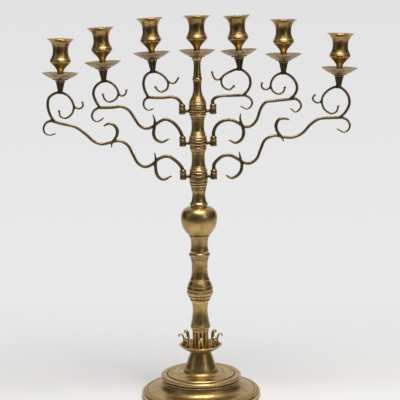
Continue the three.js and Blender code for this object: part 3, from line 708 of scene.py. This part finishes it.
def markRelief(mesh, rounds=14, gain=7.0):
    # compares each point with the smoothed skin: above zero on edges, below it in corners
    count = len(mesh.vertices)
    start = np.zeros(count * 3)
    mesh.vertices.foreach_get("co", start)
    start = start.reshape(-1, 3)
    edges = np.zeros(len(mesh.edges) * 2, int)
    mesh.edges.foreach_get("vertices", edges)
    edges = edges.reshape(-1, 2)
    share = np.bincount(edges.ravel(), minlength=count)[:, None].clip(1)
    point = start.copy()
    for _ in range(rounds):
        total = np.zeros_like(point)
        for axis in range(3):
            total[:, axis] = (np.bincount(edges[:, 0], point[edges[:, 1], axis], count)
                              + np.bincount(edges[:, 1], point[edges[:, 0], axis], count))
        point = total / share
    normal = np.zeros(count * 3)
    mesh.vertices.foreach_get("normal", normal)
    proud = ((start - point) * normal.reshape(-1, 3)).sum(1) / mm
    proud -= np.median(proud)
    values = mesh.attributes.new("relief", "FLOAT", "POINT")
    values.data.foreach_set("value", np.clip(proud * gain, -1, 1).astype(np.float32))


rimOnly = lambda radius, height: max(0.0, min(1.0, (radius - 21) / 11))
dish = turned("dish", coronet["dish"], turnedBrass, 128, 0.6, rimOnly, coronet["leaves"],
              coronet["scallop"], Matrix.Rotation(math.pi / coronet["leaves"], 4, "Z"))
leaves = settle(linked("leafSource", leafMesh(coronet)), leafRing, "leaves", Count=coronet["leaves"],
                Lean=coronet["lean"], Seed=coronet["seed"], Material=turnedBrass)
coronetMesh = fused("coronetCasting", joinMeshes("coronetCasting", [dish, leaves], turnedBrass),
                    turnedBrass, 0.42, 2)
place("coronetCasting", coronetMesh, "coronet", "column_brass")

collar = {
    "flutes": 12, "depth": 1.7,
    "outline": [
        [[bore, 76], [12.9, 76]], [[13.2, 77.2], [12.9, 78.4]],
        [[12.6, 79.4], [12.5, 84], [12.4, 92], [12.4, 101], [12.6, 103]],
        [[12.9, 104], [12.9, 105.6], [12.6, 107]], [[bore, 107]], [[bore, 76]]],
}


def midCollar(radius, height):
    # flutes fade out towards both ends of the sleeve, and stay off its bore
    if radius <= 8:
        return 0.0
    return max(0.0, min(1.0, (height - 79) / 2.5, (102.5 - height) / 2.5))


collarMesh = turned("flutedCollar", collar["outline"], turnedBrass, 192, 0.6, midCollar, collar["flutes"],
                    collar["depth"])
place("flutedCollar", collarMesh, "fluted_collar", "column_brass")
print("coronet made")


# sockets for the arms' pins, on short waisted ears

socket = {
    "reach": 23.0,
    "ear": [[10.5, 3.1, 2.9], [13.5, 3, 2.75], [15.6, 2.6, 2.3], [17, 2.8, 2.5], [19.4, 3.1, 2.9]],
    "barrel": [
        [[2.8, 0], [3.9, 0]], [[4.6, 0.35], [5, 1.2], [5.05, 2.2], [4.75, 2.9]],
        [[4.7, 4.8], [4.8, 7.2]], [[5.05, 7.6], [5.05, 8.8], [4.7, 9.6], [4.1, 9.95]], [[2.8, 10]],
        [[2.8, 0]]],
    "seats": {"hub_low": 346.0, "hub_mid": 396.0, "hub_top": 444.0},
}


def earMesh(side, middle, look, corners=16):
    work = bmesh.new()
    rings = []
    for x, halfWide, halfTall in look:
        ring = []
        for corner in range(corners):
            turn = 2 * math.pi * corner / corners
            y = swell(math.cos(turn), 0.6) * halfWide
            z = swell(math.sin(turn), 0.6) * halfTall
            ring.append(work.verts.new((side * x * mm, y * mm, (middle + z) * mm)))
        rings.append(ring)
    return ringSkin("ear", work, rings)


for node, seat in socket["seats"].items():
    parts = []
    for side in (-1, 1):
        standing = Matrix.Translation(Vector((side * socket["reach"], 0, seat - 10)) * mm)
        parts.append(turned("barrel", socket["barrel"], castBrass, 40, 0.5, where=standing))
        parts.append(earMesh(side, seat - 5.2, socket["ear"]))
    name = node + "Sockets"
    place(name, fused(name, joinMeshes(name, parts, castBrass), castBrass, 0.3, 2), node, "column_brass",
          False)
print("sockets cast")


# candle holders: heights above the seat under the pan

holder = {
    "sides": 80,
    "pan": [
        [[2.3, 0.3], [7.9, 0.3]], [[10, 0.6], [11.4, 1.1], [11.9, 1.7], [11.7, 2.3]],
        [[12.6, 2.6], [16.2, 3.9], [21.3, 6.9], [24.8, 9.1], [26.4, 10]],
        [[27, 10.5], [26.9, 11], [26.2, 11.1], [25.4, 10.8]],
        [[24.6, 10.5], [20, 9], [15.6, 7.8], [12.2, 7.1]], [[11.6, 7.3], [10.9, 7.3]], [[2.3, 7.3]],
        [[2.3, 0.3]]],
    "nozzle": [
        [[0, 15], [2.3, 15]], [[2.3, 7.6]], [[5.2, 7.6]], [[5.8, 8.2], [5.6, 9.1], [5, 9.6]],
        [[4.5, 10.9], [4.4, 12.4], [5, 14.8], [7, 18.2], [10.4, 21.9], [13.2, 24.6], [15, 26.8],
         [15.5, 28.6], [15.3, 30]], [[14.9, 30.5], [15.2, 31], [15.1, 31.8], [14.6, 32.3]],
        [[14, 33], [12.9, 35.4], [11.9, 38.1], [11.4, 41.2], [11.4, 44.6], [11.7, 48.6], [12.7, 52.1],
         [13.9, 54.7], [16.3, 58], [18.3, 59.7], [19.6, 60.3]], [[20, 60.7], [19.8, 61.1], [19, 61]],
        [[17, 60], [14.4, 57.8], [11.9, 54.6], [10.5, 52], [9.9, 49], [9.7, 45], [9.6, 33]],
        [[9, 32.2], [0, 32.1]]],
}


def holderPieces(prefix, where):
    for kind, finish in (("pan", panBrass), ("nozzle", holderBrass)):
        mesh = turned(f"{prefix}_{kind}Turning", holder[kind], finish, holder["sides"], 0.8, where=where)
        place(f"{prefix}_{kind}Turning", mesh, f"{prefix}_{kind}", "holder_brass")


holderPieces("centre", Matrix.Translation((0, 0, 518 * mm)))


# arms: lines as [outwards, upwards] from the pin's axis at the socket's mouth

armLook = {
    "bar": [2.8, 2.3, 2.2, 2.3], "ring": [2.1, 2.1, 1.7, 1.4], "endHook": [2.0, 1.1],
    "sideHook": [1.7, 1.4],
    "scroll": [0.9, 2.3, 2.6, 2.3, 1.4], "ringBead": 2.1, "hookBead": 1.9, "grain": 0.42, "flatness": 0.94,
    "shoulder": [
        [[0, -8.5], [2.4, -8.5]], [[2.4, 0.3]], [[4.6, 0.3]],
        [[5.1, 0.9], [5.1, 2.2], [4.7, 3.6], [3.7, 5], [2.2, 5.9], [0, 6.2]]],
    "stub": [
        [[0, -1.4], [3.5, -1.4]], [[3.8, 2], [4.9, 8], [6.3, 14.6], [6.9, 16.4]],
        [[7.6, 16.9], [7.8, 17.8], [7.4, 18.5]], [[1.9, 18.5]], [[1.9, 32.5]], [[0, 32.5]]],
}
arms = {
    "left_inner": {
        "hub": "hub_top", "holder": [42.3, 53, 2.8],
        "bar": [[0, 4], [2, 8], [7, 13.5], [14, 16], [30, 15], [51, 16]],
        "endHook": [[51, 16], [56, 11], [57, 4], [54, -1], [49, -3], [43, -1]],
        "ring": [[50, 16], [55, 27], [56.5, 38], [53, 48], [43, 54], [29, 49], [20.5, 38], [22, 28],
            [30, 24], [36, 26.5], [39, 31]],
        "sideHook": [[21, 40], [16.5, 37], [11, 36.5], [7.5, 40], [5, 44]],
        "scrolls": [],
    },
    "left_middle": {
        "hub": "hub_mid", "holder": [115, 88, 2.5],
        "bar": [[0, 4], [2.5, 11], [9, 21.5], [16, 27.5], [25, 31], [34, 27.5], [43, 21], [53, 17.5],
            [63, 21.5], [71, 33], [79, 45], [89, 50.5], [105, 49.5], [124, 49.5]],
        "endHook": [[124, 49.5], [131, 45], [134, 37], [131.5, 31], [125, 29], [117, 34]],
        "ring": [[122, 49.5], [128, 60], [131, 71], [127, 81.5], [114, 89], [101, 83.5], [94, 71], [98, 62],
            [108, 58], [114.5, 62], [117, 69]],
        "sideHook": [[95, 73], [92.5, 68.5], [88, 66.5], [83.5, 69.5], [82, 75]],
        "scrolls": [[[43.5, 38], [41, 30], [41.5, 20], [43, 9], [40, 1.5], [31, -3], [20.5, 1.5]]],
    },
    "left_outer": {
        "hub": "hub_low", "holder": [180, 122, -2],
        "bar": [[0, 4], [2.5, 9.5], [10, 18], [22, 25.5], [35, 22.5], [46, 13.5], [57, 10], [67, 15.5],
            [75, 30], [82, 43], [94, 49.5], [107, 47.5], [119, 45], [131, 48.5], [145, 61], [160, 71.5],
            [178, 76], [195, 81]],
        "endHook": [[195, 81], [202, 78], [206.5, 69], [204, 62], [197, 59.5], [189, 61.5]],
        "ring": [[190, 79.5], [196, 90], [199, 103], [196.5, 115.5], [182, 123], [168, 117], [160.5, 102],
            [164, 90.5], [173, 84.5], [181, 87.5], [182.5, 95]],
        "sideHook": [[161, 104], [158, 100], [152, 98.5], [147, 102], [147.5, 107.5]],
        "scrolls": [[[42, 31], [40.5, 22], [41, 10], [39, -2], [34, -8], [28, -9.5], [18, -4.5]],
            [[106, 40], [105, 47], [98, 57], [97, 66], [102, 73.5], [110, 75.5], [116, 72.5]]],
    },
    "right_inner": {
        "hub": "hub_top", "holder": [40, 55, -3],
        "bar": [[0, 4], [-1, 9], [3, 14], [12, 16.5], [27, 17], [47, 17.5]],
        "endHook": [[47, 17.5], [54.5, 13], [58, 6.5], [55.5, 0], [49.5, -3], [41, 1]],
        "ring": [[45, 17.5], [52, 25], [55.5, 35], [53, 46], [40, 56], [25, 52], [14.5, 45], [12.5, 36],
            [17, 28.5], [25, 26], [31, 31]],
        "sideHook": [[15, 45], [10, 41.5], [5, 41], [1, 45], [-1, 52]],
        "scrolls": [],
    },
    "right_middle": {
        "hub": "hub_mid", "holder": [104.5, 96.5, 0],
        "bar": [[0, 4], [0.5, 12], [5, 21], [13, 27], [24, 29], [35, 25.5], [46, 18.5], [56, 19.5],
            [64, 27.5], [71, 46], [78, 54.5], [91, 56.5], [107, 58], [122, 59.5]],
        "endHook": [[122, 59.5], [127.5, 55.5], [130.5, 49], [128, 43], [122, 39.5], [115, 44.5]],
        "ring": [[113, 58.5], [121, 65.5], [124.5, 76], [119, 89], [105, 97.5], [92, 93], [85.5, 81],
            [89, 70.5], [98, 66.5], [104, 69.5], [106.5, 76]],
        "sideHook": [[86, 79], [82.5, 74.5], [77, 73.5], [72, 77.5], [72.5, 83]],
        "scrolls": [[[40.5, 38], [40, 30], [43.5, 18], [45, 9], [42, 0], [33, -5.5], [24, -1.5]]],
    },
    "right_outer": {
        "hub": "hub_low", "holder": [186, 125, 2],
        "bar": [[0, 4], [0.5, 12.5], [6, 19.5], [14, 25], [24, 26], [34, 21.5], [44, 15], [54, 13.5],
            [64, 20], [70, 34], [77, 48.5], [91, 54.5], [104, 52.5], [117, 51.5], [132, 57.5], [145, 71],
            [158, 79], [174, 80], [191, 80.5]],
        "endHook": [[191, 80.5], [199, 76.5], [203, 68], [200, 61], [194, 58.5], [184, 63.5]],
        "ring": [[187, 80], [196, 88], [202, 101], [199, 115], [186, 126], [171, 121.5], [161.5, 109],
            [164, 94.5], [175, 86.5], [183, 89.5], [185.5, 97]],
        "sideHook": [[162, 107], [158, 103.5], [152, 103.5], [147.5, 109], [150.5, 114.5]],
        "scrolls": [[[38, 31], [40, 21], [42, 10], [40, 1], [34, -5.5], [26, -8.5], [19, -4.5]],
            [[104.5, 46], [101, 52.5], [94, 63], [93.5, 72], [98, 79], [106, 80], [112, 78.5]]],
    },
}


def rodLines(plan, side):
    # every line of an arm as loose edges, with its thickness and the bead on its tip
    points, edges, thick, bead = [], [], [], []

    def lay(line, radii, tipBead=0.0):
        smooth = smoothRun([[side * x, z] for x, z in line], 1.2)
        first = len(points)
        for i, (x, z) in enumerate(smooth):
            spot = i / (len(smooth) - 1) * (len(radii) - 1)
            low = min(int(spot), len(radii) - 2)
            points.append((x * mm, 0, z * mm))
            thick.append((radii[low] + (radii[low + 1] - radii[low]) * (spot - low)) * mm)
            start = thick[-1] if i == 0 and tipBead == 0 else 0.0
            bead.append(tipBead * mm if i == len(smooth) - 1 else start)
        if not tipBead:
            bead[-1] = thick[-1]
        edges.extend((i, i + 1) for i in range(first, len(points) - 1))

    lay(plan["bar"], armLook["bar"])
    lay(plan["ring"], armLook["ring"], armLook["ringBead"])
    lay(plan["endHook"], armLook["endHook"])
    lay(plan["sideHook"], armLook["sideHook"], armLook["hookBead"])
    for scroll in plan["scrolls"]:
        lay(scroll, armLook["scroll"])
    mesh = bpy.data.meshes.new("lines")
    mesh.from_pydata(points, edges, [])
    for label, values in (("thick", thick), ("bead", bead)):
        mesh.attributes.new(label, "FLOAT", "POINT").data.foreach_set("value", values)
    return mesh


for name, plan in arms.items():
    side = -1 if name.startswith("left") else 1
    outwards, upwards, tilt = plan["holder"]
    seatHeight = socket["seats"][plan["hub"]]
    socketMouth = Matrix.Translation(Vector((side * socket["reach"], 0, seatHeight)) * mm)
    leaning = (socketMouth @ Matrix.Translation(Vector((side * outwards, 0, upwards)) * mm)
               @ Matrix.Rotation(math.radians(side * tilt), 4, "Y"))
    rods = settle(linked("rodSource", rodLines(plan, side)), scrollRods, "rods",
                  Flatness=armLook["flatness"], Material=castBrass)
    rods.transform(socketMouth)
    shoulder = turned("shoulder", armLook["shoulder"], castBrass, 40, 0.6, where=socketMouth)
    stub = turned("stub", armLook["stub"], castBrass, 8, 0.8, where=leaning)
    parts = joinMeshes(name + "Casting", [rods, shoulder, stub], castBrass)
    place(name + "Casting", fused(name + "Casting", parts, castBrass, armLook["grain"]), name + "_arm",
          "arm_brass")
    holderPieces(name, leaning @ Matrix.Translation((0, 0, 18.5 * mm)))
print("arms and holders made")

for node in ("tie_rod", "rod_washer", "rod_nut"):
    metal = frame["nodes"][node].data.materials
    metal.clear()
    metal.append(darkIron)


# studio

studio = {
    "target": (1.8, 0.0, 304.8), "distance": 2050.0, "pitch": 9.75, "roll": -0.72, "lens": 123.0,
    "floor": (0.82, 0.82, 0.83), "paper": (0.76, 0.76, 0.765), "paintedGlowTop": 0.755, "paintedGlowFoot": 0.81,
    "lights": {  # places and sizes in metres
        "overhead": {"at": (0.14, -0.55, 2.1), "aim": (0, 0, 0.2), "size": (1.0, 0.9),
                     "watts": 38, "tint": (1, 0.98, 0.95)},
        "rightStrip": {"at": (1.1, -1.3, 1.1), "aim": (0, 0, 0.3), "size": (0.14, 1.2),
                       "watts": 2.6, "tint": (1, 0.98, 0.95)},
        "leftFill": {"at": (-1.9, -0.6, 1.1), "aim": (0, 0, 0.3), "size": (0.8, 1.2),
                     "watts": 1.5, "tint": (0.97, 0.98, 1)},
    },
}


def makeCamera(look):
    camera = bpy.data.cameras.new("camera")
    camera.lens = look["lens"]
    camera.sensor_width = 36
    camera.clip_end = 50
    eye = linked("camera", camera)
    down = math.radians(look["pitch"])
    target = Vector(look["target"]) * mm
    eye.location = target + Vector((0, -math.cos(down), math.sin(down))) * look["distance"] * mm
    eye.matrix_world = (Matrix.Translation(eye.location) @ Matrix.Rotation(math.pi / 2 - down, 4, "X")
                        @ Matrix.Rotation(math.radians(look["roll"]), 4, "Z"))
    bpy.context.scene.camera = eye


def softLight(name, look):
    lamp = bpy.data.lights.new(name, "AREA")
    lamp.shape = "RECTANGLE"
    lamp.size, lamp.size_y = look["size"]
    lamp.energy = look["watts"]
    lamp.color = look["tint"]
    stand = linked(name, lamp)
    stand.location = look["at"]
    facing = Vector(look["aim"]) - Vector(look["at"])
    stand.rotation_euler = facing.to_track_quat("-Z", "Y").to_euler()


makeCamera(studio)
for lightName, lightLook in studio["lights"].items():
    softLight(lightName, lightLook)


def sweepMesh():
    # floor that curves up into a wall behind the object
    work = bmesh.new()
    line = [(y, 0.0) for y in (-0.65, -0.3, 0.0, 0.5, 1.0)]
    line += [(1.0 + 0.8 * math.sin(a),
              0.8 - 0.8 * math.cos(a)) for a in (math.pi / 2 * i / 16 for i in range(1, 17))]
    line += [(1.8, 1.6), (1.8, 3.2)]
    rows = [[work.verts.new((x, y, z)) for x in (-1.5, -0.5, 0.5, 1.5)] for y, z in line]
    for low, high in zip(rows, rows[1:]):
        for a in range(len(low) - 1):
            work.faces.new((low[a], low[a + 1], high[a + 1], high[a]))
    mesh = meshFrom("studioSweep", work)
    mesh.polygons.foreach_set("use_smooth", [True] * len(mesh.polygons))
    return mesh


def sweepFinish(look):
    material, tree, shader = nodeTree("studioPaper")
    place = addNode(tree, "ShaderNodeTexCoord").outputs["Object"]
    shader.inputs["Base Color"].default_value = (*look["floor"], 1)
    shader.inputs["Roughness"].default_value = 0.9
    shader.inputs["Specular IOR Level"].default_value = 0.1
    point = addNode(tree, "ShaderNodeSeparateXYZ")
    tree.links.new(place, point.inputs[0])
    height = spread(tree, point.outputs["Z"], 0.0, 0.6)
    # painted light: behind the object the backdrop glows for the camera and in reflections, lighter at its
    # foot and darker towards the top, in place of being lit
    glow = addNode(tree, "ShaderNodeEmission")
    foot, top = look["paintedGlowFoot"], look["paintedGlowTop"]
    tree.links.new(ramp(tree, height, (0.0, foot), (1.0, top)), glow.inputs["Color"])
    rays = addNode(tree, "ShaderNodeLightPath")
    seen = reckon(tree, "MAXIMUM", rays.outputs["Is Camera Ray"],
                  reckon(tree, "MAXIMUM", rays.outputs["Is Glossy Ray"],
                         rays.outputs["Is Transmission Ray"]))
    behind = spread(tree, point.outputs["Y"], 0.0, 0.6)
    mix = addNode(tree, "ShaderNodeMixShader")
    tree.links.new(reckon(tree, "MULTIPLY", seen, behind), mix.inputs[0])
    tree.links.new(shader.outputs[0], mix.inputs[1])
    tree.links.new(glow.outputs[0], mix.inputs[2])
    tree.links.new(mix.outputs[0], tree.nodes["Material Output"].inputs["Surface"])
    return material


sweep = linked("studioSweep", sweepMesh())
sweep.data.materials.append(sweepFinish(studio))


def makeWorld(look):
    # a dim room in front, light above and behind
    world = bpy.data.worlds.new("studioRoom")
    bpy.context.scene.world = world
    world.use_nodes = True
    tree = world.node_tree
    direction = addNode(tree, "ShaderNodeSeparateXYZ")
    tree.links.new(addNode(tree, "ShaderNodeTexCoord").outputs["Generated"], direction.inputs[0])
    upwards = spread(tree, direction.outputs["Z"], -1.0, 1.0)
    room = ramp(tree, upwards, (0.0, 0.08), (0.45, 0.06), (0.6, 0.06), (0.75, 0.11), (0.9, 0.3),
                (1.0, 0.6))
    sideways = spread(tree, direction.outputs["X"], -1.0, 1.0)
    lean = ramp(tree, sideways, (0.0, 0.9), (0.35, 0.6), (0.55, 1.0), (0.75, 1.5), (1.0, 1.2))
    room = blend(tree, 1.0, room, lean, "MULTIPLY")
    seen = addNode(tree, "ShaderNodeLightPath").outputs["Is Camera Ray"]
    tree.links.new(blend(tree, seen, room, look["paper"]), tree.nodes["Background"].inputs["Color"])
    tree.nodes["Background"].inputs["Strength"].default_value = 1.0


makeWorld(studio)
bpy.context.scene.view_settings.view_transform = "Standard"
print("studio lit")
